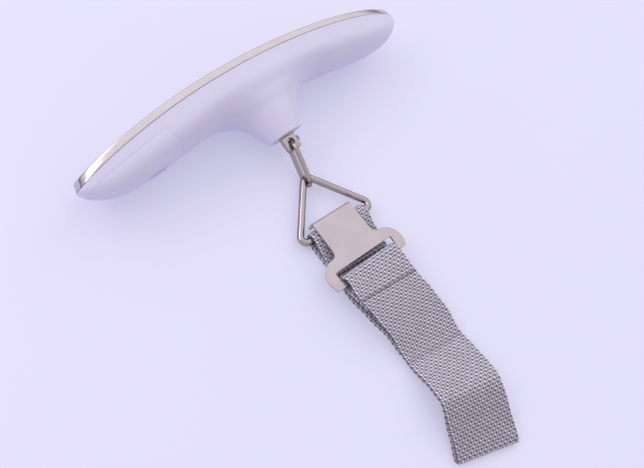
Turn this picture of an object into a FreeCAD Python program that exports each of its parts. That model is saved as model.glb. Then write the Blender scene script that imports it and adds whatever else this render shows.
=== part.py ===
"""Digital luggage scale lying on its side: T-shaped handle, link, triangle ring, webbing strap, hook."""
import FreeCAD, Part
import math
import os
from FreeCAD import Placement, Rotation, Vector

os.makedirs("parts", exist_ok=True)

# ---- driving dimensions, mm -------------------------------------------------------------------
# Handle frame: origin on the crown of the face plate, X along the arms, Y out of the face plate,
# Z across the handle. The handle then lies on its side wall, rolled by its draft angle.
ARCH_R = 356.0
PLATE_LENGTH = 165.4
PLATE_WIDTH = 29.0
RIM_HEIGHT = 3.2
RIM_FLARE = 1.1
SHEET = 0.7
ARM_DEPTH = 13.7
WALL = 1.8
DRAFT = 10.0
ROLL = 10.0
NECK_END = -32.8
FIT = 0.3

LENS = (31.2, 15.8, 1.0)
LCD = (30.0, 15.2, 2.1)
BOARD_TOP = -6.2
BOARD = (66.0, 24.8, 1.0)
KEY_X = 25.0
KEY_R = 3.8
KEY_TRAVEL = 0.3

BEAM_TOP = -8.2
BEAM = (36.0, 5.0, 12.0)
PIN_R = 1.25
CELL_X = -57.0
CELL_R = 10.0
CELL_T = 3.2
CELL_TOP = -9.75

EYE_W = 6.8
EYE_T = 2.0
EYE_HOLE_Y = -36.0
EYE_HOLE_R = 2.2

LINK_WIRE_R = 1.0
LINK_BEND = 3.1
LINK_LEAN = 8.0
LINK_PLAY = 0.4
RING_WIRE_R = 1.4
RING_BASE = 40.0
RING_HEIGHT = 24.5
RING_APEX_BEND = 2.8
RING_BASE_BEND = 2.2
RING_YAW = -5.0

WEB_W = 29.2
WEB_T = 1.4
WEB_SLACK = 0.15
PRESSED_FLAT = 0.02

HOOK_T = 1.0
HOOK_W = 20.2
HOOK_LENGTH = 21.2
HOOK_LIP = 4.8
HOOK_YAW = -3.0
SLOT_W = 30.4
SLOT_H = 3.9
BAR_W = 2.6
EAR_R = 8.6
BUCKLE_W = 40.0

# ---- lying frame: origin on the surface under the crown of the face plate ---------------------
HANDLE_Z = 15.95
BAR_AT = Vector(-3.9, -72.7, WEB_T + WEB_SLACK + RING_WIRE_R + 0.05)
RING_PITCH = 2.7
SLOT_EDGE_AT = Vector(-6.4, -88.4, 7.2)

X = Vector(1, 0, 0)
Z = Vector(0, 0, 1)
NODES = {}


# ---- helpers ----------------------------------------------------------------------------------
def arch(x):
    """Height of the face plate's outer surface at x."""
    return math.sqrt(ARCH_R ** 2 - x * x) - ARCH_R


def plan(x, half_width, half_length):
    """Half width of a rounded-oval plan outline at x."""
    u = abs(x) / half_length
    return half_width * math.sqrt(max(0.0, 1.0 - u ** 3.3))


def rim(x, drop=0.0, inset=0.0):
    """Half width of the rim at x, from the crown edge (drop 0) to its lower edge (drop 1)."""
    flare = RIM_FLARE * drop
    return plan(x, PLATE_WIDTH / 2 + flare, PLATE_LENGTH / 2 + flare) - inset


def depth(x):
    """Depth of the arm below the rim at x."""
    u = abs(x) / (PLATE_LENGTH / 2 + RIM_FLARE)
    return ARM_DEPTH * max(0.0, 1.0 - u ** 8) ** 1.15


def box(x0, x1, y0, y1, z0, z1):
    return Part.makeBox(x1 - x0, y1 - y0, z1 - z0, Vector(x0, y0, z0))


def rod(radius, start, end):
    axis = end.sub(start)
    return Part.makeCylinder(radius, axis.Length, start, axis)


def loft(wires, ruled=False):
    return Part.makeLoft(wires, True, ruled)


def both_ways(stations):
    return [-s for s in reversed(stations)] + list(stations)


def in_handle(shape):
    """Place a shape of the handle frame in the lying frame."""
    turn = Placement(Vector(0, 0, HANDLE_Z), Rotation(X, ROLL))
    return shape.transformed(turn.toMatrix())


def handle_point(x, y, z):
    return Placement(Vector(0, 0, HANDLE_Z), Rotation(X, ROLL)).multVec(Vector(x, y, z))


def add(name, shape):
    NODES[name] = shape


def add_handle(name, shape):
    add(name, in_handle(shape))


def closed_path(corners, bends):
    """Closed planar wire through the corners, each rounded by its own radius."""
    count = len(corners)
    arcs = []
    for i in range(count):
        corner = corners[i]
        back = corners[i - 1].sub(corner).normalize()
        ahead = corners[(i + 1) % count].sub(corner).normalize()
        half = back.getAngle(ahead) / 2
        reach = bends[i] / math.tan(half)
        middle = back.add(ahead).normalize()
        crown = corner.add(middle.multiply(bends[i] / math.sin(half) - bends[i]))
        arcs.append((corner.add(back.multiply(reach)), crown, corner.add(ahead.multiply(reach))))
    edges = []
    for i in range(count):
        start, crown, end = arcs[i]
        edges.append(Part.Arc(start, crown, end).toShape())
        following = arcs[(i + 1) % count][0]
        if following.sub(end).Length > 1e-6:
            edges.append(Part.makeLine(end, following))
    return Part.Wire(edges)


def bent_wire(path, radius):
    """Round wire swept along a closed path."""
    edge = path.Edges[1] if len(path.Edges) > 1 else path.Edges[0]
    start = edge.valueAt(edge.FirstParameter)
    along = edge.tangentAt(edge.FirstParameter)
    ordered = Part.Wire(path.Edges[1:] + path.Edges[:1])
    profile = Part.Wire(Part.makeCircle(radius, start, along))
    return ordered.makePipeShell([profile], True, False)


# ---- handle shell -----------------------------------------------------------------------------
def arm_section(x, inset, lift=0.0):
    """Closed section of the arm below the rim: drafted sides and a rounded bottom."""
    half = rim(x, 1.0, inset)
    top = arch(x) - RIM_HEIGHT
    deep = depth(x) - inset
    slope = math.tan(math.radians(DRAFT))
    side = 0.42 * deep
    shoulder = half - slope * side
    bottom = top - deep
    upper = [Vector(x, top + lift, -half), Vector(x, top + lift, half)]
    right = Vector(x, top - side, shoulder)
    left = Vector(x, top - side, -shoulder)
    keel = Vector(x, bottom, 0)
    full = 0.62 * (deep - side)
    curves = []
    for start, end, handle_a, handle_b in (
        (right, keel, Vector(0, -full, -slope * full), Vector(0, 0, 0.58 * shoulder)),
        (keel, left, Vector(0, 0, -0.58 * shoulder), Vector(0, -full, slope * full)),
    ):
        curve = Part.BezierCurve()
        curve.setPoles([start, start.add(handle_a), end.add(handle_b), end])
        curves.append(curve.toShape())
    return Part.Wire([
        Part.makeLine(upper[0], upper[1]),
        Part.makeLine(upper[1], right),
        curves[0],
        curves[1],
        Part.makeLine(left, upper[0]),
    ])


def arm_body(inset, lift, stations):
    return loft([arm_section(x, inset, lift) for x in both_ways(stations)])


def ellipse_wire(y, a, b):
    if a >= b:
        curve = Part.Ellipse(Vector(a, y, 0), Vector(0, y, b), Vector(0, y, 0))
    else:
        curve = Part.Ellipse(Vector(0, y, b), Vector(-a, y, 0), Vector(0, y, 0))
    return Part.Wire(curve.toShape())


NECK = [(-9.0, 40.0, 13.2), (-13.0, 33.0, 12.9), (-16.6, 26.5, 12.3), (-18.4, 19.4, 11.6),
        (-20.4, 15.3, 10.9), (-23.8, 12.5, 9.9), (-28.0, 10.1, 8.6)]


def neck_body(inset, reach):
    tip = (NECK_END, 7.7, 7.2)
    wires = [ellipse_wire(y, a - inset, b - inset) for y, a, b in NECK]
    wires.append(ellipse_wire(NECK_END - reach, tip[1] - inset, tip[2] - inset))
    return loft(wires)


def door_region(gap):
    """Prism below the door's parting lines, drawn back from them by a gap."""
    outline = [
        Vector(-47.4 - gap, -10.4 - gap, -30),
        Vector(-75.0, -14.3 - gap, -30),
        Vector(-81.2, -16.2 - gap, -30),
        Vector(-84.0, -30.0, -30),
        Vector(-28.6 - 1.4 * gap, -30.0, -30),
    ]
    return Part.Face(Part.makePolygon(outline + outline[:1])).extrude(Vector(0, 0, 60))


def handle_shells():
    outer = arm_body(0.0, 0.0, [8, 24, 40, 54, 64, 71, 76, 79.5, 81.8, 82.8]).fuse(neck_body(0.0, 0.0))
    hollow = arm_body(WALL, 1.0, [8, 24, 40, 54, 64, 70, 75, 78.5]).fuse(neck_body(WALL, 1.0))
    shell = outer.cut(hollow)
    for x, z in deck_screw_places():
        hollow = hollow.cut(rod(2.8, Vector(x, arch(x) - RIM_HEIGHT - 0.1, z), Vector(x, -24, z)))
    for x in (21.4, 27.4):
        hollow = hollow.cut(box(x, x + 3.0, -18.0, -15.1, -5, 5))
    housing = outer.cut(largest(hollow))
    for x, z in deck_screw_places():
        housing = housing.cut(rod(1.15, Vector(x, 0, z), Vector(x, -13.0, z)))
    add_handle("lower_housing", largest(housing.cut(door_region(0.0)).removeSplitter()))
    add_handle("battery_door", largest(shell.common(door_region(0.2))))


def largest(shape):
    return sorted(shape.Solids, key=lambda solid: solid.Volume)[-1]


def deck_screw_places():
    return [(38.5, 8.8), (38.5, -8.8), (-38.5, 8.8), (-38.5, -8.8)]


# ---- face plate, deck, display and keys -------------------------------------------------------
def rim_solid(inset, top_drop, bottom_drop, stations):
    """Solid between two levels of the rim, drawn in by an inset."""
    wires = []
    for x in both_ways(stations):
        upper = rim(x, top_drop / RIM_HEIGHT, inset)
        lower = rim(x, bottom_drop / RIM_HEIGHT, inset)
        y = arch(x)
        corners = [
            Vector(x, y - top_drop, -upper),
            Vector(x, y - top_drop, upper),
            Vector(x, y - bottom_drop, lower),
            Vector(x, y - bottom_drop, -lower),
        ]
        wires.append(Part.makePolygon(corners + corners[:1]))
    return loft(wires)


def face_and_deck():
    plate = rim_solid(0.0, 0.0, RIM_HEIGHT, [8, 24, 40, 54, 64, 71, 76, 79.5, 81.6, 82.4])
    hollow = rim_solid(SHEET, SHEET, RIM_HEIGHT + 0.5, [8, 24, 40, 54, 64, 71, 76, 79.5, 80.6])
    plate = plate.cut(hollow)
    deck = rim_solid(SHEET + 0.05, SHEET + 0.05, RIM_HEIGHT - 0.05, [8, 24, 40, 54, 64, 71, 76, 79.5])
    plate = plate.cut(box(-13.5, 13.5, -3, 2, -6.3, 6.3))
    deck = deck.cut(box(-LENS[0] / 2 - 0.2, LENS[0] / 2 + 0.2, -6, 2, -LENS[1] / 2 - 0.2, LENS[1] / 2 + 0.2))
    for x in (-KEY_X, KEY_X):
        hole = rod(KEY_R + FIT, Vector(x, -8, 0), Vector(x, 2, 0))
        plate = plate.cut(hole)
        deck = deck.cut(hole)
        deck = deck.cut(rod(5.1, Vector(x, -8, 0), Vector(x, -4.1, 0)))
    for x in (-29.8, 29.8):
        for z in (-9.6, 9.6):
            deck = deck.fuse(rod(1.9, Vector(x, -2.5, z), Vector(x, BOARD_TOP + 0.02, z)))
            deck = deck.cut(rod(0.75, Vector(x, -4.4, z), Vector(x, -7, z)))
    screws = []
    for x, z in deck_screw_places():
        seat = arch(x) - SHEET - 1.35
        deck = deck.cut(rod(2.4, Vector(x, seat, z), Vector(x, 0, z)))
        deck = deck.cut(rod(1.25, Vector(x, -6, z), Vector(x, 0, z)))
        head = rod(2.2, Vector(x, seat + 0.02, z), Vector(x, seat + 0.98, z))
        screws.append(head.fuse(rod(1.1, Vector(x, seat + 0.02, z), Vector(x, -12.5, z))))
    add_handle("face_plate", plate)
    add_handle("upper_deck", deck.removeSplitter())
    add_handle("deck_screws", Part.makeCompound(screws))


def display():
    lens_top = -1.05
    lcd_top = lens_top - LENS[2] - 0.05
    lcd_bottom = lcd_top - LCD[2]
    add_handle("display_lens", box(-LENS[0] / 2, LENS[0] / 2, lens_top - LENS[2], lens_top,
                                   -LENS[1] / 2, LENS[1] / 2))
    add_handle("lcd_panel", box(-LCD[0] / 2, LCD[0] / 2, lcd_bottom, lcd_top, -LCD[1] / 2, LCD[1] / 2))
    frame = box(-18, 18, BOARD_TOP + 0.05, -3.75, -10.2, 10.2)
    add_handle("lcd_frame", frame.cut(box(-15.2, 15.2, -7, -3, -7.8, 7.8)))
    add_handle("zebra_strip", box(-13, 13, BOARD_TOP + 0.03, lcd_bottom - 0.03, 5.2, 6.8))


def board():
    half = BOARD[0] / 2
    deep = BOARD[1] / 2
    board_low = BOARD_TOP - BOARD[2]
    plate = box(-half, half, board_low, BOARD_TOP, -deep, deep)
    screws = []
    for x in (-29.8, 29.8):
        for z in (-9.6, 9.6):
            plate = plate.cut(rod(0.8, Vector(x, -8, z), Vector(x, -5, z)))
            head = rod(1.5, Vector(x, board_low - 0.85, z), Vector(x, board_low - 0.02, z))
            screws.append(head.fuse(rod(0.7, Vector(x, board_low - 0.1, z), Vector(x, -4.6, z))))
    add_handle("circuit_board", plate)
    add_handle("board_screws", Part.makeCompound(screws))
    add_handle("controller_chip", box(-22, -14, board_low - 1.4, board_low - 0.02, -4, 4))
    switches = []
    for x in (-KEY_X, KEY_X):
        base = box(x - 3, x + 3, BOARD_TOP + 0.02, BOARD_TOP + 0.9, -3, 3)
        switches.append(base.fuse(rod(1.5, Vector(x, BOARD_TOP + 0.9, 0), Vector(x, BOARD_TOP + 1.22, 0))))
    add_handle("tact_switches", Part.makeCompound(switches))


def key(x):
    """Push key: a cap through the face plate and a flange under the deck."""
    flange_low = BOARD_TOP + 1.22 + KEY_TRAVEL + 0.06
    cap = rod(KEY_R, Vector(x, flange_low, 0), Vector(x, arch(x) + 0.5, 0))
    return cap.fuse(rod(4.8, Vector(x, flange_low, 0), Vector(x, flange_low + 0.4, 0)))


# ---- weighing beam, eye and collar ------------------------------------------------------------
def weighing():
    low = BEAM_TOP - BEAM[1]
    middle = BEAM_TOP - BEAM[1] / 2
    half = BEAM[2] / 2
    beam = box(-6, BEAM[0] - 6, low, BEAM_TOP, -half, half)
    for x in (11.5, 18.5):
        beam = beam.cut(rod(1.9, Vector(x, middle, -9), Vector(x, middle, 9)))
    beam = beam.cut(box(11.5, 18.5, middle - 0.5, middle + 0.5, -9, 9))
    beam = beam.cut(box(-7, 4.5, low - 1, BEAM_TOP + 1, -EYE_T / 2 - 0.2, EYE_T / 2 + 0.2))
    beam = beam.cut(rod(PIN_R, Vector(0, middle, -9), Vector(0, middle, 9)))
    bracket = box(21.2, 31.0, low - 1.8, low - 0.02, -half, half)
    screws = []
    for z in (-3.3, 3.3):
        beam = beam.cut(rod(1.3, Vector(25.2, low - 1, z), Vector(25.2, BEAM_TOP + 1, z)))
        bracket = bracket.cut(rod(1.3, Vector(25.2, low - 3, z), Vector(25.2, low + 1, z)))
        bracket = bracket.cut(rod(2.5, Vector(25.2, low - 3, z), Vector(25.2, low - 0.8, z)))
        head = rod(2.4, Vector(25.2, low - 1.75, z), Vector(25.2, low - 0.85, z))
        screws.append(head.fuse(rod(1.2, Vector(25.2, low - 1.0, z), Vector(25.2, BEAM_TOP - 0.6, z))))
    add_handle("load_cell", beam)
    add_handle("load_cell_bracket", bracket)
    add_handle("load_cell_screws", Part.makeCompound(screws))
    gauges = []
    for x in (11.5, 18.5):
        gauges.append(box(x - 2.4, x + 2.4, BEAM_TOP + 0.01, BEAM_TOP + 0.12, -2, 2))
        gauges.append(box(x - 2.4, x + 2.4, low - 0.12, low - 0.01, -2, 2))
    add_handle("strain_gauges", Part.makeCompound(gauges))
    eye = box(-EYE_W / 2, EYE_W / 2, EYE_HOLE_Y, middle, -EYE_T / 2, EYE_T / 2)
    for y in (middle, EYE_HOLE_Y):
        eye = eye.fuse(rod(EYE_W / 2, Vector(0, y, -EYE_T / 2), Vector(0, y, EYE_T / 2)))
    eye = eye.cut(rod(PIN_R, Vector(0, middle, -3), Vector(0, middle, 3)))
    eye = eye.cut(rod(EYE_HOLE_R, Vector(0, EYE_HOLE_Y, -3), Vector(0, EYE_HOLE_Y, 3)))
    add_handle("hanger_eye", eye.removeSplitter())
    add_handle("hanger_pin", rod(PIN_R - 0.02, Vector(0, middle, -half), Vector(0, middle, half)))
    collar = loft([ellipse_wire(NECK_END + 2.6, 6.6, 6.1), ellipse_wire(NECK_END + 0.3, 6.0, 5.5)], True)
    slot = box(-EYE_W / 2 - 0.1, EYE_W / 2 + 0.1, -40, -20, -EYE_T / 2 - 0.1, EYE_T / 2 + 0.1)
    add_handle("neck_collar", collar.common(neck_body(WALL + 0.08, 1.5)).cut(slot))


# ---- battery ----------------------------------------------------------------------------------
def add_battery(name, shape):
    """Add a shape drawn over the cell's centre, turned to follow the arch."""
    lean = math.degrees(math.asin(-CELL_X / ARCH_R))
    turn = Placement(Vector(CELL_X, CELL_TOP, 0), Rotation(Z, lean))
    add_handle(name, shape.transformed(turn.toMatrix()))


def battery():
    """Holder, cell and contacts; y = 0 is the cell's top face."""
    base_low = 0.7
    base_top = 1.5
    wall_r = CELL_R + 1.1
    base = rod(wall_r, Vector(0, base_low, 0), Vector(0, base_top, 0))
    wall = rod(wall_r, Vector(0, -2.2, 0), Vector(0, base_low, 0))
    wall = wall.cut(rod(CELL_R + 0.15, Vector(0, -3, 0), Vector(0, base_low, 0)))
    wall = wall.common(box(-15, 15, -5, 5, -8, 8))
    holder = base.fuse(wall).common(box(-15, 15, -5, 5, -9.9, 9.9))
    holder = holder.cut(box(5, 15, -5, base_low, -2.6, 2.6))
    holder = holder.cut(rod(1.2, Vector(0, -1, 0), Vector(0, 3, 0)))
    add_battery("battery_holder", holder.removeSplitter())
    can = rod(CELL_R, Vector(0, -CELL_T, 0), Vector(0, -0.5, 0))
    add_battery("coin_cell", can.fuse(rod(CELL_R - 1.1, Vector(0, -CELL_T, 0), Vector(0, 0, 0))))
    leaf = box(-4.5, 4.5, base_low - 0.4, base_low - 0.05, -1.5, 1.5)
    stud = rod(1.1, Vector(0, base_low - 0.3, 0), Vector(0, base_top + 0.2, 0))
    foot = rod(0.8, Vector(3, 0.02, 0), Vector(3, base_low - 0.2, 0))
    add_battery("contact_negative", leaf.fuse(stud).fuse(foot))
    edge = CELL_R + 0.05
    low = -CELL_T - 0.35
    strip = box(edge, edge + 0.3, low, base_low - 0.05, -2, 2)
    add_battery("contact_positive", strip.fuse(box(edge - 3.0, edge + 0.3, low, low + 0.3, -2, 2)))
    wires = []
    for start, z in ((Vector(-45.2, -8.2, 1.4), 2.5), (Vector(-44.6, -7.4, -1.4), -2.5)):
        wires.append(rod(0.45, start, Vector(-BOARD[0] / 2 - 0.6, BOARD_TOP - 0.6, z)))
    add_handle("battery_wires", Part.makeCompound(wires))
    leads = []
    for i in range(4):
        x = 13.4 + 1.1 * i
        leads.append(rod(0.25, Vector(x, BEAM_TOP + 0.5, 2.4), Vector(x, BEAM_TOP + 0.5, 9.0)))
    add_handle("gauge_wires", Part.makeCompound(leads))


# ---- link, ring, strap and hook ---------------------------------------------------------------
def ring_placement():
    turn = Rotation(Z, RING_YAW).multiply(Rotation(X, RING_PITCH))
    return Placement(BAR_AT, turn)


def ring_apex():
    half = math.atan2(RING_BASE / 2, RING_HEIGHT)
    crown = RING_HEIGHT - (RING_APEX_BEND / math.sin(half) - RING_APEX_BEND)
    return ring_placement().multVec(Vector(0, crown, 0))


def triangle_ring():
    corners = [Vector(-RING_BASE / 2, 0, 0), Vector(RING_BASE / 2, 0, 0), Vector(0, RING_HEIGHT, 0)]
    path = closed_path(corners, [RING_BASE_BEND, RING_BASE_BEND, RING_APEX_BEND])
    ring = bent_wire(path, RING_WIRE_R)
    add("triangle_ring", ring.transformed(ring_placement().toMatrix()))


def link_ends():
    """Centres of the link's two end bends."""
    top = handle_point(0, EYE_HOLE_Y, 0)
    apex = ring_apex()
    along = apex.sub(top).normalize()
    low = apex.add(Vector(along).multiply(RING_WIRE_R + LINK_WIRE_R + LINK_PLAY))
    return top.add(Vector(along).multiply(LINK_BEND)), low.sub(Vector(along).multiply(LINK_BEND)), along


def connecting_link():
    top, low, along = link_ends()
    level = along.cross(Z).normalize()
    across = Rotation(along, LINK_LEAN).multVec(level.cross(along).normalize())
    side = Vector(across).multiply(LINK_BEND)
    reach = Vector(along).multiply(LINK_BEND)
    edges = [
        Part.makeLine(low.add(side), top.add(side)),
        Part.Arc(top.add(side), top.sub(reach), top.sub(side)).toShape(),
        Part.makeLine(top.sub(side), low.sub(side)),
        Part.Arc(low.sub(side), low.add(reach), low.add(side)).toShape(),
    ]
    profile = Part.Wire(Part.makeCircle(LINK_WIRE_R, low.add(side), along))
    add("connecting_link", Part.Wire(edges).makePipeShell([profile], True, False))


def between(table, y):
    """Value at y from a short list of (y, value) pairs, falling y."""
    for (y0, v0), (y1, v1) in zip(table, table[1:]):
        if y1 <= y <= y0:
            return v0 + (v1 - v0) * (y0 - y) / (y0 - y1)
    return table[0][1] if y > table[0][0] else table[-1][1]


FRONT_X = [(-93, -7.1), (-104, -7.9), (-114, -6.7), (-124, -5.6), (-134, -6.4), (-152, -9.6), (-166, -14.2),
           (-174, -17.2)]
FRONT_YAW = [(-93, -4.0), (-104, -7.5), (-124, -9.2), (-134, -11.3), (-152, -17.6), (-174, -22.8)]
BACK_X = [(-72.7, -3.9), (-96, -6.1), (-122, -4.8), (-134, -5.6), (-152, -9.4), (-166, -14.2), (-174, -17.2)]
BACK_YAW = [(-72.7, -5.0), (-96, -6.0), (-122, -9.0), (-134, -11.3), (-152, -17.6), (-174, -22.8)]


def ribbon(stations):
    """Flat webbing through (x, y, z, yaw, normal) stations; a normal of None follows the path."""
    places = [Vector(x, y, z) for x, y, z, yaw, given in stations]
    wires = []
    for i, (x, y, z, yaw, given) in enumerate(stations):
        before = places[max(0, i - 1)]
        after = places[min(len(places) - 1, i + 1)]
        across = Rotation(Z, yaw).multVec(X)
        normal = after.sub(before).cross(across).normalize()
        if given is not None:
            normal = Vector(given) if normal.dot(given) > 0 else given.negative()
        half = Vector(across).multiply(WEB_W / 2)
        up = Vector(normal).multiply(WEB_T / 2)
        corners = [
            places[i].sub(half).sub(up),
            places[i].add(half).sub(up),
            places[i].add(half).add(up),
            places[i].sub(half).add(up),
        ]
        wires.append(Part.makePolygon(corners + corners[:1]))
    return loft(wires, True)


def loop_stations(centre, radius, start, end, yaw, steps):
    """Stations round a bar, angles measured from the way the webbing leads (-Y) towards +Z."""
    heading = Rotation(Z, yaw).multVec(Vector(0, -1, 0))
    found = []
    for i in range(steps + 1):
        angle = math.radians(start + (end - start) * i / steps)
        out = Vector(heading).multiply(math.cos(angle)).add(Vector(0, 0, math.sin(angle)))
        spot = centre.add(Vector(out).multiply(radius))
        found.append((spot.x, spot.y, spot.z, yaw, out))
    return found


def bar_centre():
    """Centre of the buckle's lower bar."""
    down = Rotation(Z, HOOK_YAW).multVec(Vector(0, -(SLOT_H + BAR_W / 2), -HOOK_T / 2))
    return SLOT_EDGE_AT.add(down)


FOLD_Y = -174.0
CREST_Y = -151.0
CREST_Z = 7.0
CREST_HALF = 15.5
MEET_Y = -133.0
FOLD_R = 0.78
FRONT_RISE = [(-132, 2.6), (-128, 3.6), (-122, 5.5), (-114, 7.4), (-106, 8.6), (-99, 9.1)]
FRONT_TAIL = [(-97, 4.9), (-100.5, 6.1), (-104.5, 7.0), (-108, 6.5)]


def wave(y):
    """Height of the back layer's centre line: flat, then over one crest before the end fold."""
    u = min(1.0, abs(y - CREST_Y) / CREST_HALF)
    return WEB_T / 2 + (CREST_Z - WEB_T / 2) * (0.5 + 0.5 * math.cos(math.pi * u)) ** 1.15


def wave_gap(y):
    """Height between the two layers' centre lines where they run together."""
    slope = (wave(y + 0.5) - wave(y - 0.5)) / math.cos(math.radians(between(FRONT_YAW, y)))
    return (WEB_T + 0.06) * math.hypot(1.0, slope) + 0.06


def spots(places, yaws, heights):
    """Stations of a ribbon from (y, z) pairs."""
    return [(between(places, y), y, z, between(yaws, y), None) for y, z in heights]


def webbing():
    low = WEB_T / 2
    tail = 3 * WEB_T / 2 + 0.06
    together = [MEET_Y - 2.0 * i for i in range(1, 19)]
    back = spots(BACK_X, BACK_YAW, [(-89.5, tail), (-84.5, tail), (-81.0, tail + 0.5)])
    back += loop_stations(BAR_AT, RING_WIRE_R + WEB_SLACK + WEB_T / 2, 80, 270, RING_YAW, 9)
    back += spots(BACK_X, BACK_YAW, [(y, low) for y in (-76, -84, -96, -108, -120, -130)])
    back += spots(BACK_X, BACK_YAW, [(y, wave(y)) for y in together + [FOLD_Y + 1.0, FOLD_Y]])
    pressed = box(-40, 30, MEET_Y, -76, -1, PRESSED_FLAT)
    add("strap_back", largest(ribbon(back).cut(pressed)))
    fold_at = Vector(between(FRONT_X, FOLD_Y), FOLD_Y, low + FOLD_R)
    front = loop_stations(fold_at, FOLD_R, -90, 90, between(FRONT_YAW, FOLD_Y), 5)
    front += spots(FRONT_X, FRONT_YAW, [(y, wave(y) + wave_gap(y)) for y in reversed(together)])
    front += spots(FRONT_X, FRONT_YAW, FRONT_RISE)
    bar_r = math.hypot(BAR_W, HOOK_T) / 2 + 0.2 + WEB_T / 2
    front += loop_stations(bar_centre(), bar_r, 85, 275, HOOK_YAW, 9)
    front += spots(FRONT_X, FRONT_YAW, FRONT_TAIL)
    add("strap_front", ribbon(front))


def stitch_row(centre, yaw, count, height):
    """Row of short thread stitches across the webbing."""
    pitch = (WEB_W - 3.0) / count
    stitches = []
    for i in range(count):
        stitch = box(-pitch * 0.36, pitch * 0.36, -0.3, 0.3, 0.02, 0.3)
        shift = (i - (count - 1) / 2) * pitch
        stitch.translate(Vector(shift, 0, 0))
        stitches.append(stitch)
    row = Part.makeCompound(stitches)
    return row.transformed(Placement(Vector(centre.x, centre.y, height), Rotation(Z, yaw)).toMatrix())


def stitching():
    rows = []
    y = -104.0
    rows.append(stitch_row(Vector(between(FRONT_X, y), y, 0), between(FRONT_YAW, y), 12, 8.77 + WEB_T / 2))
    y = -86.5
    rows.append(stitch_row(Vector(between(BACK_X, y), y, 0), between(BACK_YAW, y), 12, 2 * WEB_T + 0.06))
    add("strap_stitching", Part.makeCompound(rows))


def hook_buckle():
    """Flat steel buckle: hook lip at +Y, slot and ears at -Y, origin at the slot's upper edge."""
    low_edge = -(SLOT_H + BAR_W)
    half = HOOK_W / 2
    ear_x = BUCKLE_W / 2 - EAR_R + 1.4
    fillet = 2.4
    plate = box(-half, half, 0, HOOK_LENGTH, -HOOK_T, 0)
    ears = []
    for side in (-1, 1):
        centre = Vector(side * ear_x, -2.2, -HOOK_T)
        ears.append(Part.makeCylinder(EAR_R - 1.4, HOOK_T, centre))
    middle = box(-ear_x, ear_x, low_edge, 5.6, -HOOK_T, 0)
    flat = plate.multiFuse(ears + [middle]).removeSplitter()
    notches = []
    for side in (-1, 1):
        notches.append(Part.makeCylinder(fillet, HOOK_T, Vector(side * (half + fillet), 5.6 + 0.2, -HOOK_T)))
    flat = flat.cut(notches[0].fuse(notches[1]))
    flat = flat.cut(box(-SLOT_W / 2, SLOT_W / 2, -SLOT_H, 0, -2, 1))
    flat = flat.common(box(-30, 30, low_edge, 30, -2, 1))
    lip = box(-half, half, HOOK_LENGTH - HOOK_T, HOOK_LENGTH, -HOOK_LIP, 0)
    hook = flat.fuse(lip).removeSplitter()
    hook = hook.makeFillet(0.9, [e for e in hook.Edges if is_fold_edge(e)])
    add("hook_buckle", hook.transformed(Placement(SLOT_EDGE_AT, Rotation(Z, HOOK_YAW)).toMatrix()))


def is_fold_edge(edge):
    box_of = edge.BoundBox
    long_enough = box_of.XLength > HOOK_W - 1
    return long_enough and abs(box_of.YMin - HOOK_LENGTH) < 0.01 and abs(box_of.ZMin) < 0.01


# ---- build, stand on the origin and write -----------------------------------------------------
handle_shells()
face_and_deck()
display()
board()
add_handle("power_button", key(-KEY_X))
add_handle("unit_button", key(KEY_X))
weighing()
battery()
triangle_ring()
connecting_link()
webbing()
stitching()
hook_buckle()

whole = Part.makeCompound(list(NODES.values())).optimalBoundingBox(False)
ORIGIN = Vector((whole.XMin + whole.XMax) / 2, (whole.YMin + whole.YMax) / 2, whole.ZMin)
for node, shape in NODES.items():
    shape.translate(ORIGIN.negative())
    shape.exportStep("parts/" + node + ".step")
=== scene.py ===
"""Digital luggage scale lying on its side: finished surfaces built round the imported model."""
import math

import bmesh
import bpy
import numpy as np
from mathutils import Matrix, Vector


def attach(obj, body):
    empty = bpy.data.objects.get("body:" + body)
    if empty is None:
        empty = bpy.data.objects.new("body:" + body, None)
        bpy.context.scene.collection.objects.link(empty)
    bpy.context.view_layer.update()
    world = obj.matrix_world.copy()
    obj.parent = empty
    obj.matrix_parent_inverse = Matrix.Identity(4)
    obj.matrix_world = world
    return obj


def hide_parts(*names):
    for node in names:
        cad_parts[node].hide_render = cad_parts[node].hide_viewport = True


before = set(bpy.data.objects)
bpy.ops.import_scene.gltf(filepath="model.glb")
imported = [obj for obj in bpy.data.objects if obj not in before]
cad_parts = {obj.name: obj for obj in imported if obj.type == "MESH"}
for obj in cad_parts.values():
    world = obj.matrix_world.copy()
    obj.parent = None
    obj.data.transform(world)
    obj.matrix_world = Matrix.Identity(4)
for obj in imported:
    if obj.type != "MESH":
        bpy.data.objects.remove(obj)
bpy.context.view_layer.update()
scene = bpy.context.scene

# ---- sizes in mm, as the model has them ---------------------------------------------------------
ORIGIN_Y = 89.218
HANDLE_Z = 15.95
ROLL = math.radians(10.0)
ARCH_R = 356.0
RIM = 3.2
RIM_FLARE = 1.1
PLATE_HALF = 14.5
PLATE_END = 81.9
PLATE_END_FLARE = 0.9
SHEET = 0.7
ARM_DEPTH = 13.7
WALL = 1.8
KEY_X = 25.0
KEY_HOLE_R = 4.1
SLOPE = math.tan(math.radians(10.0))
MOUTH_Y = -32.8
NECK = [(-32.8, 7.7, 7.2), (-28.0, 10.1, 8.6), (-23.8, 12.5, 9.9), (-20.4, 15.3, 10.9),
        (-18.4, 19.4, 11.6), (-16.6, 26.5, 12.3), (-13.0, 33.0, 12.9), (-9.0, 40.0, 13.2)]
WEB_W = 29.2
WEB_T = 1.4
CELLS = 24
CELL = WEB_W / CELLS
BAR_AT = np.array([-3.9, -72.7, 3.0])
RING_HALF = 20.0
RING_TALL = 24.5
RING_BEND = 2.8
RING_WIRE = 1.4
RING_YAW = -5.0
LINK_WIRE = 1.0
EYE_HOLE_Y = -36.0
SLOT_EDGE_AT = np.array([-6.4, -88.4, 7.2])
HOOK_YAW = -3.0
HOOK_T = 1.0
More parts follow.
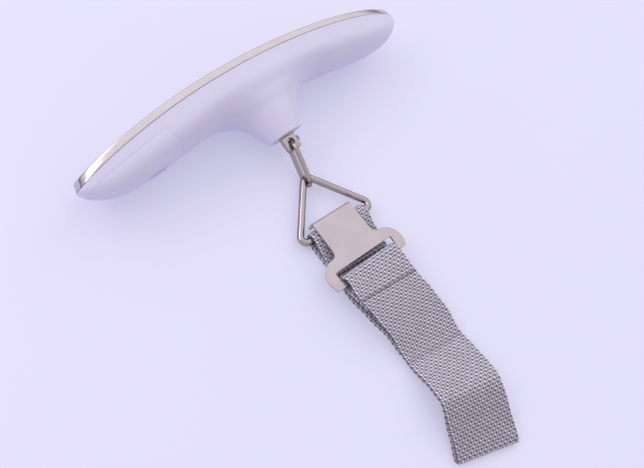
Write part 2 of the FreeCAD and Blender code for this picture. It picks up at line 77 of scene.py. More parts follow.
SLOT_H = 3.9
BAR_W = 2.6


# ---- placing points -----------------------------------------------------------------------------
def from_handle(points):
    """Points of the handle's own frame, turned and lifted to lie on the table."""
    p = np.asarray(points, float)
    x, y, z = p[..., 0], p[..., 1], p[..., 2]
    c, s = math.cos(ROLL), math.sin(ROLL)
    return np.stack([x, y * c - z * s, y * s + z * c + HANDLE_Z], -1)


def to_model(points):
    """Millimetres on the table to metres in the model's frame."""
    return (np.asarray(points, float) + [0.0, ORIGIN_Y, 0.0]) / 1000.0


def fair(t, table):
    """Smooth curve through (t, value, ...) rows, at every t."""
    rows = np.array(table, float)
    knots, values = rows[:, 0], rows[:, 1:]
    slopes = np.gradient(values, knots, axis=0)
    t = np.clip(np.asarray(t, float), knots[0], knots[-1])
    k = np.clip(np.searchsorted(knots, t) - 1, 0, len(knots) - 2)
    span = knots[k + 1] - knots[k]
    u = ((t - knots[k]) / span)[..., None]
    span = span[..., None]
    return ((2 * u ** 3 - 3 * u ** 2 + 1) * values[k] + (u ** 3 - 2 * u ** 2 + u) * span * slopes[k]
            + (3 * u ** 2 - 2 * u ** 3) * values[k + 1] + (u ** 3 - u ** 2) * span * slopes[k + 1])


def turned(points, degrees):
    """Points turned about the upright axis."""
    a = math.radians(degrees)
    p = np.asarray(points, float)
    x, y = p[..., 0], p[..., 1]
    return np.stack([x * math.cos(a) - y * math.sin(a), x * math.sin(a) + y * math.cos(a), p[..., 2]], -1)


# ---- making pieces ------------------------------------------------------------------------------
WELD_SPAN = 2e-6


def grid_faces(rows, columns, wrap_rows=False, wrap_columns=False):
    faces = []
    for i in range(rows if wrap_rows else rows - 1):
        for j in range(columns if wrap_columns else columns - 1):
            a, b = i * columns + j, i * columns + (j + 1) % columns
            c = ((i + 1) % rows) * columns + j
            d = ((i + 1) % rows) * columns + (j + 1) % columns
            faces.append((a, b, d, c))
    return faces


def new_object(name, mesh):
    made = bpy.data.objects.new(name, mesh)
    scene.collection.objects.link(made)
    return made


def clean(mesh, drop_slivers=False):
    """Welds double points and turns the faces outwards."""
    work = bmesh.new()
    work.from_mesh(mesh)
    bmesh.ops.remove_doubles(work, verts=work.verts, dist=WELD_SPAN)
    if drop_slivers:
        bmesh.ops.dissolve_degenerate(work, edges=work.edges, dist=WELD_SPAN / 2)
    bmesh.ops.recalc_face_normals(work, faces=work.faces)
    work.to_mesh(mesh)
    work.free()


def mesh_from(name, points, faces):
    """Clean mesh in the model's frame from points in millimetres."""
    mesh = bpy.data.meshes.new(name)
    mesh.from_pydata(to_model(points).reshape(-1, 3).tolist(), [], faces)
    clean(mesh, drop_slivers=True)
    return mesh


def joined(name, meshes):
    """One mesh from several."""
    work = bmesh.new()
    for mesh in meshes:
        work.from_mesh(mesh)
    whole = bpy.data.meshes.new(name)
    work.to_mesh(whole)
    work.free()
    return whole


def settle(obj, finish, body, stands_for=(), crease=35.0):
    """Gives a made object its finish, shading, body and the nodes that it stands for."""
    mesh = obj.data
    if not mesh.materials:
        mesh.materials.append(finish)
    mesh.shade_smooth()
    mesh.set_sharp_from_angle(angle=math.radians(crease))
    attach(obj, body)
    if stands_for:
        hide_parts(*stands_for)
    return obj


def add_piece(name, points, faces, finish, body, stands_for=(), crease=35.0):
    obj = new_object(name, mesh_from(name, points, faces))
    return settle(obj, finish, body, stands_for, crease)


def cut_with(obj, tool, operation="DIFFERENCE"):
    """Cuts an object with a tool object and keeps the result as its mesh."""
    cutter = obj.modifiers.new("Cut", "BOOLEAN")
    cutter.operation = operation
    cutter.solver = "EXACT"
    cutter.object = tool
    shaped = bpy.data.meshes.new_from_object(obj.evaluated_get(bpy.context.evaluated_depsgraph_get()))
    obj.modifiers.remove(cutter)
    obj.data = shaped


def slab(name, bottom, top):
    """Closed solid between two like rings of points in the handle's frame."""
    n = len(bottom)
    faces = [tuple(range(n)), tuple(range(2 * n - 1, n - 1, -1))]
    faces += [(i, (i + 1) % n, (i + 1) % n + n, i + n) for i in range(n)]
    return new_object(name, mesh_from(name, from_handle(bottom + top), faces))


def side_cutter(name, outline, reach=30.0):
    """Cutter through the handle along z, over an outline in x and y."""
    return slab(name, [(x, y, -reach) for x, y in outline], [(x, y, reach) for x, y in outline])


def face_cutter(name, outline, x0=0.0):
    """Cutter through the face plate along y, over an outline in x and z."""
    return slab(name, [(x0 + x, -2.5, z) for x, z in outline], [(x0 + x, 1.5, z) for x, z in outline])


def discard(*objects):
    for obj in objects:
        bpy.data.objects.remove(obj)


def revolve(profile, centre, sides=48):
    """Points and faces of a profile of (radius, height) rows turned about the handle's y."""
    turns = np.linspace(0, 2 * math.pi, sides, endpoint=False)
    points = [(centre[0] + r * math.cos(a), centre[1] + h, centre[2] + r * math.sin(a))
              for r, h in profile for a in turns]
    return np.array(points), grid_faces(len(profile), sides, wrap_columns=True)


def tube(path, radius, sides=20, closed=True):
    """Round tube along a path of points; a list of radii swells or narrows it."""
    path = np.asarray(path, float)
    count = len(path)
    if closed:
        along = np.roll(path, -1, 0) - np.roll(path, 1, 0)
    else:
        along = np.gradient(path, axis=0)
    along /= np.linalg.norm(along, axis=1)[:, None]
    seed = np.array([0.0, 0.0, 1.0]) if abs(along[0][2]) < 0.9 else np.array([1.0, 0.0, 0.0])
    side = np.cross(along[0], seed)
    radii = np.broadcast_to(radius, count)
    rings = []
    for i in range(count):
        side = side - along[i] * side.dot(along[i])
        side /= np.linalg.norm(side)
        other = np.cross(along[i], side)
        turn = np.linspace(0, 2 * math.pi, sides, endpoint=False)[:, None]
        rings.append(path[i] + radii[i] * (np.cos(turn) * side + np.sin(turn) * other))
    points = np.array(rings).reshape(-1, 3)
    faces = grid_faces(count, sides, wrap_rows=closed, wrap_columns=True)
    if not closed:
        faces += [tuple(range(sides - 1, -1, -1)), tuple(range((count - 1) * sides, count * sides))]
    return points, faces


def rounded_loop(corners, bends, step=0.5, arc_steps=14):
    """Closed loop of points through corners, each rounded by its own radius."""
    corners = [np.asarray(c, float) for c in corners]
    arcs = []
    for i, corner in enumerate(corners):
        back = corners[i - 1] - corner
        ahead = corners[(i + 1) % len(corners)] - corner
        back, ahead = back / np.linalg.norm(back), ahead / np.linalg.norm(ahead)
        half = math.acos(np.clip(back.dot(ahead), -1, 1)) / 2
        middle = (back + ahead) / np.linalg.norm(back + ahead)
        centre = corner + middle * bends[i] / math.sin(half)
        first = corner + back * bends[i] / math.tan(half) - centre
        last = corner + ahead * bends[i] / math.tan(half) - centre
        sweep = math.pi - 2 * half
        normal = np.cross(first, last)
        normal /= np.linalg.norm(normal)
        turns = [sweep * k / arc_steps for k in range(arc_steps + 1)]
        arcs.append([centre + first * math.cos(t) + np.cross(normal, first) * math.sin(t) for t in turns])
    points = []
    for i, arc in enumerate(arcs):
        points += arc
        following = arcs[(i + 1) % len(arcs)][0]
        pieces = max(1, int(np.linalg.norm(following - arc[-1]) / step))
        points += [arc[-1] + (following - arc[-1]) * k / pieces for k in range(1, pieces)]
    return np.array(points)


# ---- finishes -----------------------------------------------------------------------------------
class Finish:
    """A material and short ways to add grain, mottling and the marks of handling to it."""

    def __init__(self, name, colour, rough, metallic=0.0, **sockets):
        self.material = bpy.data.materials.new(name)
        self.material.use_nodes = True
        self.nodes = self.material.node_tree.nodes
        self.links = self.material.node_tree.links
        self.shader = self.nodes["Principled BSDF"]
        self.shader.inputs["Base Color"].default_value = (*colour, 1.0)
        self.shader.inputs["Roughness"].default_value = rough
        self.shader.inputs["Metallic"].default_value = metallic
        for socket, value in sockets.items():
            self.shader.inputs[socket.replace("_", " ")].default_value = value
        self.colour = colour
        self.rough = rough
        self.bumped = None
        self.place = self.nodes.new("ShaderNodeTexCoord").outputs["Object"]

    def node(self, kind, **values):
        made = self.nodes.new(kind)
        for key, value in values.items():
            if key in made.inputs:
                made.inputs[key].default_value = value
            else:
                setattr(made, key, value)
        return made

    def noise(self, scale, detail=3.0, stretch=(1.0, 1.0, 1.0), source=None):
        mapping = self.node("ShaderNodeMapping")
        mapping.inputs["Scale"].default_value = stretch
        self.links.new(source or self.place, mapping.inputs["Vector"])
        field = self.node("ShaderNodeTexNoise", Scale=scale, Detail=detail)
        self.links.new(mapping.outputs[0], field.inputs["Vector"])
        return field.outputs["Fac"]

    def bump(self, height, strength, distance):
        """Adds a bump layer over any bump that is already there."""
        layer = self.node("ShaderNodeBump", Strength=strength, Distance=distance)
        self.links.new(height, layer.inputs["Height"])
        if self.bumped:
            self.links.new(self.bumped, layer.inputs["Normal"])
        self.bumped = layer.outputs[0]
        self.links.new(self.bumped, self.shader.inputs["Normal"])
        return self

    def work(self, operation, first, second=0.0):
        """Output of one sum on sockets or numbers."""
        made = self.node("ShaderNodeMath", operation=operation)
        for k, value in enumerate((first, second)):
            if isinstance(value, (int, float)):
                made.inputs[k].default_value = value
            else:
                self.links.new(value, made.inputs[k])
        return made.outputs[0]

    def bulge(self, across, half, along, reach):
        """Rounded hump over an ellipse: 1 in its middle and 0 outside."""
        side = self.work("POWER", self.work("ABSOLUTE", self.work("DIVIDE", across, half)), 2.0)
        end = self.work("POWER", self.work("ABSOLUTE", self.work("DIVIDE", along, reach)), 2.0)
        left = self.work("SUBTRACT", 1.0, self.work("ADD", side, end))
        return self.work("SQRT", self.work("MAXIMUM", left, 0.0))

    def ramp(self, factor, low, high, dark, light):
        ramp = self.node("ShaderNodeValToRGB")
        ramp.color_ramp.elements[0].position = low
        ramp.color_ramp.elements[1].position = high
        ramp.color_ramp.elements[0].color = (*dark, 1.0)
        ramp.color_ramp.elements[1].color = (*light, 1.0)
        self.links.new(factor, ramp.inputs["Fac"])
        return ramp.outputs["Color"]

    def mottle(self, scale, spread, low=0.35, high=0.65, stretch=(1.0, 1.0, 1.0)):
        """Varies the colour a little round its own value."""
        dark = tuple(c * (1 - spread) for c in self.colour)
        light = tuple(min(1.0, c * (1 + spread)) for c in self.colour)
        colour = self.ramp(self.noise(scale, 4.0, stretch), low, high, dark, light)
        self.links.new(colour, self.shader.inputs["Base Color"])
        return self

    def polish(self, scale, spread, stretch=(1.0, 1.0, 1.0)):
        """Varies the roughness, as handling and polishing leave it."""
        span = self.node("ShaderNodeMapRange")
        span.inputs["To Min"].default_value = max(0.0, self.rough - spread)
        span.inputs["To Max"].default_value = self.rough + spread
        self.links.new(self.noise(scale, 4.0, stretch), span.inputs["Value"])
        self.links.new(span.outputs[0], self.shader.inputs["Roughness"])
        return self

    def grain(self, scale, strength, distance, stretch=(1.0, 1.0, 1.0)):
        return self.bump(self.noise(scale, 3.0, stretch), strength, distance)


def moulded(name, colour, rough=0.42, **sockets):
    """Injection-moulded plastic: fine spark texture and slow sheen changes."""
    plastic = Finish(name, colour, rough, **sockets)
    return plastic.mottle(60, 0.012).polish(900, 0.05).grain(5200, 0.10, 0.00004).grain(140, 0.06, 0.0003)


def drawn_metal(name, colour, rough, stretch, grain=0.10, spread=0.05):
    """Bright metal with fine drawing or brushing lines."""
    metal = Finish(name, colour, rough, 1.0)
    return metal.mottle(120, 0.03).polish(500, spread, stretch).grain(900, grain, 0.00003, stretch)


white = moulded("white_plastic", (0.685, 0.668, 0.835), 0.40, Coat_Weight=0.15, Coat_Roughness=0.25)
white_inside = moulded("white_plastic_inside", (0.62, 0.60, 0.72), 0.55)
key_finish = moulded("key_plastic", (0.30, 0.30, 0.33), 0.45)
dark = moulded("dark_plastic", (0.035, 0.035, 0.04), 0.5)
steel = drawn_metal("face_steel", (0.60, 0.555, 0.58), 0.16, (0.2, 6.0, 6.0), 0.05, 0.04)
buckle_steel = drawn_metal("buckle_satin_steel", (0.56, 0.50, 0.53), 0.34, (0.35, 3.0, 3.0), 0.16, 0.06)
nickel = drawn_metal("nickel_wire", (0.47, 0.42, 0.42), 0.12, (1.0, 1.0, 1.0), 0.10, 0.05)
# The dark specular tint paints dark reflections along the wires' edges.
nickel.shader.inputs["Specular Tint"].default_value = (0.16, 0.11, 0.10, 1.0)
screw_steel = drawn_metal("screw_steel", (0.55, 0.54, 0.53), 0.3, (1.0, 1.0, 1.0))
aluminium = drawn_metal("beam_aluminium", (0.72, 0.72, 0.73), 0.38, (0.2, 5.0, 5.0), 0.2)
bracket = drawn_metal("bracket_steel", (0.50, 0.50, 0.50), 0.42, (1.0, 1.0, 1.0), 0.2)
cell_steel = drawn_metal("cell_steel", (0.68, 0.67, 0.65), 0.28, (1.0, 1.0, 1.0))
brass = drawn_metal("contact_brass", (0.72, 0.55, 0.30), 0.3, (1.0, 1.0, 1.0))
board = Finish("board_laminate", (0.02, 0.13, 0.06), 0.4).mottle(300, 0.15).grain(2500, 0.15, 0.00005)
zebra = Finish("zebra_rubber", (0.55, 0.42, 0.45), 0.7).mottle(900, 0.3, stretch=(8.0, 1.0, 1.0))
film = Finish("gauge_film", (0.62, 0.30, 0.07), 0.35).mottle(800, 0.1).grain(3000, 0.1, 0.00003)
red_cover = Finish("wire_cover", (0.50, 0.02, 0.02), 0.45).mottle(500, 0.08).grain(1500, 0.1, 0.00003)
black_cover = Finish("black_wire_cover", (0.03, 0.03, 0.03), 0.45).mottle(500, 0.1).grain(1500, 0.1, 0.00003)
lens = Finish("clear_lens", (1.0, 1.0, 1.0), 0.04, Transmission_Weight=1.0, IOR=1.49).polish(300, 0.02)
lcd = Finish("lcd_glass", (0.33, 0.36, 0.30), 0.18, Coat_Weight=0.4).mottle(200, 0.03).polish(400, 0.04)
segment = Finish("lcd_segment", (0.02, 0.022, 0.02), 0.3).mottle(500, 0.1)
thread = Finish("thread", (0.36, 0.35, 0.39), 0.75, Sheen_Weight=0.4).mottle(1500, 0.2)
thread.grain(6000, 0.4, 0.0001)


def webbing_finish():
    """Plain weave drawn on the strap's own map of yarns, with painted shade in its gaps; the mesh gives each
    yarn's random tone and painted shade.
    """
    cloth = Finish("webbing", (0.30, 0.285, 0.32), 0.62, Sheen_Weight=0.25, Sheen_Roughness=0.4)
    weave = cloth.node("ShaderNodeUVMap", uv_map="weave").outputs["UV"]
    cell = cloth.node("ShaderNodeSeparateXYZ")
    cloth.links.new(weave, cell.inputs[0])
    u, v = cell.outputs[0], cell.outputs[1]
    across = cloth.work("SUBTRACT", cloth.work("FRACT", u), 0.5)
    along = cloth.work("SUBTRACT", cloth.work("FRACT", v), 0.5)
    lean = cloth.work("ADD", across, cloth.work("MULTIPLY", along, 0.45))
    turn = cloth.work("MODULO", cloth.work("ADD", cloth.work("FLOOR", u), cloth.work("FLOOR", v)), 2.0)
    warp = cloth.bulge(lean, 0.34, along, 0.72)
    weft = cloth.bulge(across, 0.70, along, 0.36)
    # The ramp paints shade: the gaps between yarns come out near black and the yarn crowns light, and the
    # weft floats are painted darker than the warp.
    crossing = cloth.work("ADD", cloth.work("MULTIPLY", warp, cloth.work("SUBTRACT", 1.0, turn)),
                          cloth.work("MULTIPLY", weft, cloth.work("MULTIPLY", turn, 0.62)))
    yarn_tone_and_shade = cloth.node("ShaderNodeAttribute", attribute_name="tone").outputs["Fac"]
    tone = cloth.work("MULTIPLY", cloth.work("ADD", crossing, 0.05), yarn_tone_and_shade)
    colour = cloth.ramp(tone, 0.0, 1.0, (0.085, 0.072, 0.088), (0.76, 0.74, 0.86))
    cloth.links.new(colour, cloth.shader.inputs["Base Color"])
    twist = cloth.node("ShaderNodeTexWave", Scale=2.2, Distortion=1.5)
    twist.bands_direction = "DIAGONAL"
    cloth.links.new(weave, twist.inputs["Vector"])
    cloth.bump(twist.outputs["Fac"], 0.35, 0.00008)
    return cloth.bump(cloth.noise(3.0, 4.0, source=weave), 0.3, 0.0001)


webbing = webbing_finish()

NODE_FINISHES = {
    "upper_deck": white_inside, "deck_screws": screw_steel, "lcd_frame": dark, "zebra_strip": zebra,
    "circuit_board": board, "board_screws": screw_steel, "controller_chip": dark,
    "tact_switches": key_finish, "load_cell": aluminium, "load_cell_bracket": bracket,
    "load_cell_screws": screw_steel, "strain_gauges": film, "hanger_pin": screw_steel,
    "battery_holder": dark, "coin_cell": cell_steel, "contact_negative": brass,
    "contact_positive": brass, "battery_wires": red_cover, "gauge_wires": black_cover,
    "display_lens": lens, "lcd_panel": lcd,
}
for node_name, node_finish in NODE_FINISHES.items():
    node_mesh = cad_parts[node_name].data
    node_mesh.materials.clear()
    node_mesh.materials.append(node_finish.material)


# ---- handle housing and battery door ------------------------------------------------------------
PLAN_POWER = 3.3
TIP_POWERS = (8, 0.88)
SIDE_SHARE = 0.42
LEAN_SHARE = 0.62
KEEL_SHARE = 0.58
BLEND_REACH = 3.4


def arch(x):
    """Height of the rim's top edge along the handle."""
    return np.sqrt(ARCH_R ** 2 - x * x) - ARCH_R


def plan(x, half, end):
    """Half width of the handle seen from its face."""
    return half * np.sqrt(np.maximum(0.0, 1.0 - (np.abs(x) / end) ** PLAN_POWER))


BODY_HALF = PLATE_HALF + RIM_FLARE
BODY_END = PLATE_END + PLATE_END_FLARE
CURVE_S = np.linspace(0, 1, 400)
CURVE_T = 3 * (1 - CURVE_S) ** 2 * CURVE_S * LEAN_SHARE + 3 * (1 - CURVE_S) * CURVE_S ** 2 + CURVE_S ** 3


def arm_depth(x, inset):
    """Depth of the arm below its rim; it thins out only near the tip."""
    u = np.abs(x) / (BODY_END - inset)
    return (ARM_DEPTH - inset) * np.maximum(0.0, 1.0 - u ** TIP_POWERS[0]) ** TIP_POWERS[1]


def neck_half(y, inset):
    sizes = fair(y, NECK)
    return sizes[..., 0] - inset, sizes[..., 1] - inset


def half_width(x, y, inset):
    """Half width of the housing at x and y: arm and neck run into each other."""
    half = plan(x, BODY_HALF - inset, BODY_END - inset)
    deep = np.maximum(arm_depth(x, inset), 1e-6)
    side = SIDE_SHARE * deep
    shoulder = np.maximum(half - SLOPE * side, 1e-6)
    drop = arch(x) - RIM - y
    s = np.interp(np.clip((drop - side) / (deep - side), 0, 1), CURVE_T, CURVE_S)
    lean = np.minimum(SLOPE * LEAN_SHARE * (deep - side) / shoulder, 1.0)
    keel = (1 - s) ** 3 + 3 * (1 - s) ** 2 * s * (1 - lean) + 3 * (1 - s) * s ** 2 * KEEL_SHARE
    keel = shoulder * keel
    arm = np.where(drop < side, half - SLOPE * drop, np.where(drop > deep, 0.0, keel))
    arm = np.maximum(arm, 0.0)
    a, b = neck_half(y, inset)
    neck = b * np.sqrt(np.maximum(0.0, 1.0 - (x / a) ** 2))
    reach = np.maximum(np.minimum(BLEND_REACH, 0.5 * np.maximum(arm, neck)), 1e-6)
    near = np.maximum(reach - np.abs(arm - neck), 0.0) / reach
    return np.maximum(arm, neck) + near * near * reach / 4


NECK_JOIN = 34.0
MOUTH_SHARE = 0.2


def housing_grid(inset, columns=151, rows=34):
    """Points of the housing's upper half, from the rim to the outline seen along z."""
    s = np.linspace(0, 1, columns)
    top_x = (BODY_END - inset) * np.sin(math.pi / 2 * s)
    join = NECK_JOIN * (BODY_END - inset) / BODY_END
    corner = int(np.argmin(np.abs(top_x - MOUTH_SHARE * join)))
    top_x[corner] = MOUTH_SHARE * join
    mouth_x = NECK[0][1] - inset
    side_x = np.linspace(mouth_x, join, 900)
    neck_y = np.linspace(MOUTH_Y, -9.0, 600)
    climb = np.interp(side_x, neck_half(neck_y, inset)[0], neck_y)
    low = np.minimum(arch(side_x) - RIM - arm_depth(side_x, inset), climb)
    run = np.concatenate([[0], np.cumsum(np.hypot(np.diff(side_x), np.diff(low)))])
    share = np.clip(top_x / join, 0, 1)
    way = np.clip((share - MOUTH_SHARE) / (1 - MOUTH_SHARE), 0, 1) * run[-1]
    foot_x = np.where(share < MOUTH_SHARE, share / MOUTH_SHARE * mouth_x, np.interp(way, run, side_x))
    foot_y = np.where(share < MOUTH_SHARE, MOUTH_Y, np.interp(way, run, low))
    beyond = top_x > join
    foot_x = np.where(beyond, top_x, foot_x)
    foot_y = np.where(beyond, arch(top_x) - RIM - arm_depth(top_x, inset), foot_y)
    v = np.sin(math.pi / 2 * np.linspace(0, 1, rows))[:, None]
    x = top_x + (foot_x - top_x) * v
    top_y = arch(top_x) - RIM
    y = top_y + (foot_y - top_y) * v
    z = half_width(x, y, inset)
    z[-1, share > MOUTH_SHARE - 1e-9] = 0.0
    z[:, -1] = 0.0
    full_x = np.concatenate([-x[:, :0:-1], x], 1)
    full_y = np.concatenate([y[:, :0:-1], y], 1)
    full_z = np.concatenate([z[:, :0:-1], z], 1)
    return eased(np.stack([full_x, full_y, full_z], -1))


def eased(grid, rounds=90):
    """Evens out the crease where the neck leaves the arms."""
    x, y = grid[..., 0], grid[..., 1]
    weight = np.exp(-((np.abs(x) - 22) / 9.0) ** 4) * np.exp(-((y + 18.5) / 6.0) ** 4)
    weight[0] = 0
    weight = weight[..., None] * 0.5
    for _ in range(rounds):
        mirrored = grid[-2] * [1, 1, -1]
        below = np.concatenate([grid[1:], mirrored[None]], 0)
        above = np.concatenate([grid[:1], grid[:-1]], 0)
        left = np.concatenate([grid[:, :1], grid[:, :-1]], 1)
        right = np.concatenate([grid[:, 1:], grid[:, -1:]], 1)
        grid = grid + weight * ((below + above + left + right) / 4 - grid)
    return grid


def shell_solid():
    """Closed shell of the housing: outer and inner skin, rim strip and mouth strip."""
    points, faces, start = [], [], 0
    borders = []
    for inset in (0.0, WALL):
        upper = housing_grid(inset)
        if inset:
            upper[0, :, 1] += 0.3
        rows, columns = upper.shape[:2]
        for flip in (1, -1):
            points.append((upper * [1, 1, flip]).reshape(-1, 3))
            faces += [tuple(k + start for k in f) for f in grid_faces(rows, columns)]
            borders.append((start, rows, columns))
            start += rows * columns
    for outer, inner in ((0, 2), (1, 3)):
        for row in (0, borders[0][1] - 1):
            first, rows, columns = borders[outer]
            second = borders[inner][0]
            low = 0 if row == 0 else mouth_columns(columns)[0]
            high = columns - 1 if row == 0 else mouth_columns(columns)[1]
            for j in range(low, high):
                a, b = first + row * columns + j, first + row * columns + j + 1
                c, d = second + row * columns + j + 1, second + row * columns + j
                faces.append((a, b, c, d))
    return from_handle(np.concatenate(points)), faces


def mouth_columns(columns):
    """First and last column that end in the neck's mouth."""
    count = (columns + 1) // 2
    top_x = BODY_END * np.sin(math.pi / 2 * np.linspace(0, 1, count))
    corner = int(np.argmin(np.abs(top_x - MOUTH_SHARE * NECK_JOIN)))
    return count - 1 - corner, count - 1 + corner


def door_outline(gap):
    """Outline of the battery door in x and y, drawn in by a gap."""
    edge = [(-47.4 - gap, -10.4 - gap), (-56.0, -11.55 - gap), (-66.0, -12.95 - gap), (-75.0, -14.3 - gap),
            (-78.6, -15.15 - gap), (-81.2, -16.4 - gap), (-83.0, -18.6 - gap), (-84.0, -30.0)]
    end = [(-33.4 - 1.4 * gap, -30.0), (-44.4 - 1.2 * gap, -16.9), (-47.0 - gap, -11.4)]
    return edge + end


DOOR_GAP = 0.05
RIDGE_X = (-57.0, -54.9, -52.9, -51.0)
RIDGE_R = 0.34
RIDGE_SUNK = 0.08
RIDGE_REACH = 4.4


def build_housing():
    points, faces = shell_solid()
    shell = new_object("housing_shell", mesh_from("housing_shell", points, faces))
    door = new_object("battery_door_cover", shell.data.copy())
    door_hole = side_cutter("door_hole", door_outline(0.0))
    door_block = side_cutter("door_block", door_outline(DOOR_GAP))
    cut_with(shell, door_hole)
    cut_with(door, door_block, "INTERSECT")
    recess = [(-61.6, -20.97), (-50.2, -20.06), (-49.6, -20.4), (-49.4, -24), (-61.6, -24)]
    grip = side_cutter("grip_recess", recess)
    cut_with(door, grip)
    discard(door_hole, door_block, grip)
    shell.data.materials.clear()
    door.data.materials.clear()
    settle(shell, white.material, "handle", ("lower_housing",), 30)
    settle(door, white.material, "door", ("battery_door",), 30)


def build_grip():
    """Thumb ridges across the underside of the door, half sunk into its skin."""
    ridges = []
    z = np.linspace(-RIDGE_REACH, RIDGE_REACH, 25)
    swell = RIDGE_R * np.sqrt(np.maximum(0.02, 1 - (z / (RIDGE_REACH + 0.1)) ** 6))
    for x in RIDGE_X:
        heights = np.linspace(-14.5, -21.0, 400)
        widths = half_width(np.full(400, x), heights, 0.0)
        y = np.interp(np.abs(z), widths[::-1], heights[::-1])
        path = np.stack([np.full(25, x), y + RIDGE_SUNK, z], -1)
        points, faces = tube(path, swell, 12, closed=False)
        ridges.append(mesh_from("ridge", from_handle(points), faces))
    mesh = joined("door_grip_ridges", ridges)
    settle(new_object("door_grip_ridges", mesh), white.material, "door", (), 60)


build_housing()
build_grip()


# ---- steel face plate ---------------------------------------------------------------------------
def plate_profile():
    """Half profile of the plate, from the middle of its face round the rim and back inside."""
    face = [(0.0, 0.42, f) for f in (0.0, 0.2, 0.4, 0.6, 0.8, 1.0)]
    rim = [(0.06, 0.20, 1.0), (0.18, 0.06, 1.0), (0.42, 0.0, 1.0), (1.2, 0.0, 1.0), (2.2, 0.0, 1.0),
           (2.84, 0.0, 1.0), (2.97, 0.06, 1.0), (3.0, 0.2, 1.0), (3.0, 0.7, 1.0), (1.9, 0.7, 1.0)]
    inside = [(SHEET, SHEET, f) for f in (1.0, 0.8, 0.6, 0.4, 0.2, 0.0)]
    return face + rim + inside


def build_plate():
    s = np.linspace(-1, 1, 241)
    stations = np.sin(math.pi / 2 * s)
    profile = plate_profile()
    loop = profile + [(d, i, -f) for d, i, f in reversed(profile[:-1])][:-1]
    rows = []
    for share in stations:
        width = math.sqrt(max(0.0, 1.0 - abs(share) ** PLAN_POWER))
        row = []
        for drop, inset, across in loop:
            x = share * (PLATE_END + PLATE_END_FLARE * drop / RIM - inset)
            half = (PLATE_HALF + RIM_FLARE * drop / RIM - inset) * width
            row.append((x, arch(x) - drop, half * across))
        rows.append(row)
    faces = grid_faces(len(rows), len(loop), wrap_columns=True)
    return new_object("steel_face_plate", mesh_from("steel_face_plate", from_handle(rows), faces))


def circle(x, y, radius, sides=40):
    turns = np.linspace(0, 2 * math.pi, sides, endpoint=False)
    return [(x + radius * math.cos(a), y + radius * math.sin(a)) for a in turns]


def rounded_rectangle(half_x, half_z, radius, steps=6):
    points = []
    for cx, cz, start in ((1, 1, 0), (-1, 1, 90), (-1, -1, 180), (1, -1, 270)):
        for k in range(steps + 1):
            a = math.radians(start + 90 * k / steps)
            points.append((cx * (half_x - radius) + radius * math.cos(a),
                           cz * (half_z - radius) + radius * math.sin(a)))
    return points


def finish_plate():
    plate = build_plate()
    window = face_cutter("window_cut", rounded_rectangle(13.5, 6.3, 1.0))
    ring = circle(0.0, 0.0, KEY_HOLE_R, 48)
    left = face_cutter("left_key_cut", ring, -KEY_X)
    right = face_cutter("right_key_cut", ring, KEY_X)
    for cutter in (window, left, right):
        cut_with(plate, cutter)
    discard(window, left, right)
    plate.data.materials.clear()
    settle(plate, steel.material, "handle", ("face_plate",), 40)


finish_plate()


# ---- keys and display ---------------------------------------------------------------------------
def build_key(name, x, body, node):
    """Push key with a dished top and a rounded edge."""
    high = float(arch(np.float64(x))) + 0.5
    profile = [(0.01, -4.5), (4.8, -4.5), (4.8, -4.1), (3.8, -4.1), (3.8, high - 0.45), (3.7, high - 0.2),
               (3.45, high - 0.04), (3.1, high), (2.5, high - 0.12), (1.5, high - 0.28), (0.01, high - 0.34)]
    points, faces = revolve(profile, (x, 0.0, 0.0))
    add_piece(name, from_handle(points), faces, key_finish.material, body, (node,), 50)


build_key("power_key_cap", -KEY_X, "power_key", "power_button")
build_key("unit_key_cap", KEY_X, "unit_key", "unit_button")

ZERO_BARS = [(0, 2), (1, 1), (1, -1), (0, -2), (-1, -1), (-1, 1)]
BAR_PITCH = 2.15
BAR_HALF = 0.38


def build_digits():
    """Three zeros and a point, as dark segments on the display."""
    points, faces = [], []

    def bar(cx, cz, half_x, half_z):
        start = len(points)
        lean = 0.08
        bevel = min(half_x, half_z)
        if half_x > half_z:
            ring = [(-half_x, 0), (-half_x + bevel, half_z), (half_x - bevel, half_z), (half_x, 0),
                    (half_x - bevel, -half_z), (-half_x + bevel, -half_z)]
        else:
            ring = [(0, -half_z), (half_x, -half_z + bevel), (half_x, half_z - bevel), (0, half_z),
                    (-half_x, half_z - bevel), (-half_x, -half_z + bevel)]
        for level in (-2.09, -2.055):
            points.extend((cx + dx + lean * (cz + dz), level, -(cz + dz)) for dx, dz in ring)
        faces.append(tuple(start + k for k in range(5, -1, -1)))
        faces.append(tuple(start + 6 + k for k in range(6)))
        faces.extend((start + k, start + (k + 1) % 6, start + 6 + (k + 1) % 6, start + 6 + k)
                     for k in range(6))

    for centre in (-7.2, 0.6, 7.6):
        for dx, dz in ZERO_BARS:
            if dx:
                bar(centre + dx * 2.0, dz * BAR_PITCH, BAR_HALF, 1.9)
            else:
                bar(centre, dz * BAR_PITCH, 1.75, BAR_HALF)
    bar(-3.3, -4.3, 0.42, 0.42)
    add_piece("display_digits", from_handle(np.array(points)), faces, segment.material, "handle")


build_digits()


# ---- eye, link and ring -------------------------------------------------------------------------
def plate_from_outline(outline, holes, thickness, bevel):
    """Flat plate with rounded edges over a closed outline with holes; origin in its mid-plane."""
    curve = bpy.data.curves.new("outline", "CURVE")
    curve.dimensions = "2D"
    curve.fill_mode = "BOTH"
    curve.extrude = thickness / 2 - bevel
    curve.bevel_depth = bevel
    curve.bevel_resolution = 3
    curve.offset = -bevel
    for ring in [outline, *holes]:
        spline = curve.splines.new("POLY")
        spline.points.add(len(ring) - 1)
        for k, (x, y) in enumerate(ring):
            spline.points[k].co = (x, y, 0.0, 1.0)
        spline.use_cyclic_u = True
    holder = new_object("outline_holder", curve)
    mesh = bpy.data.meshes.new_from_object(holder.evaluated_get(bpy.context.evaluated_depsgraph_get()))
    discard(holder)
    return mesh


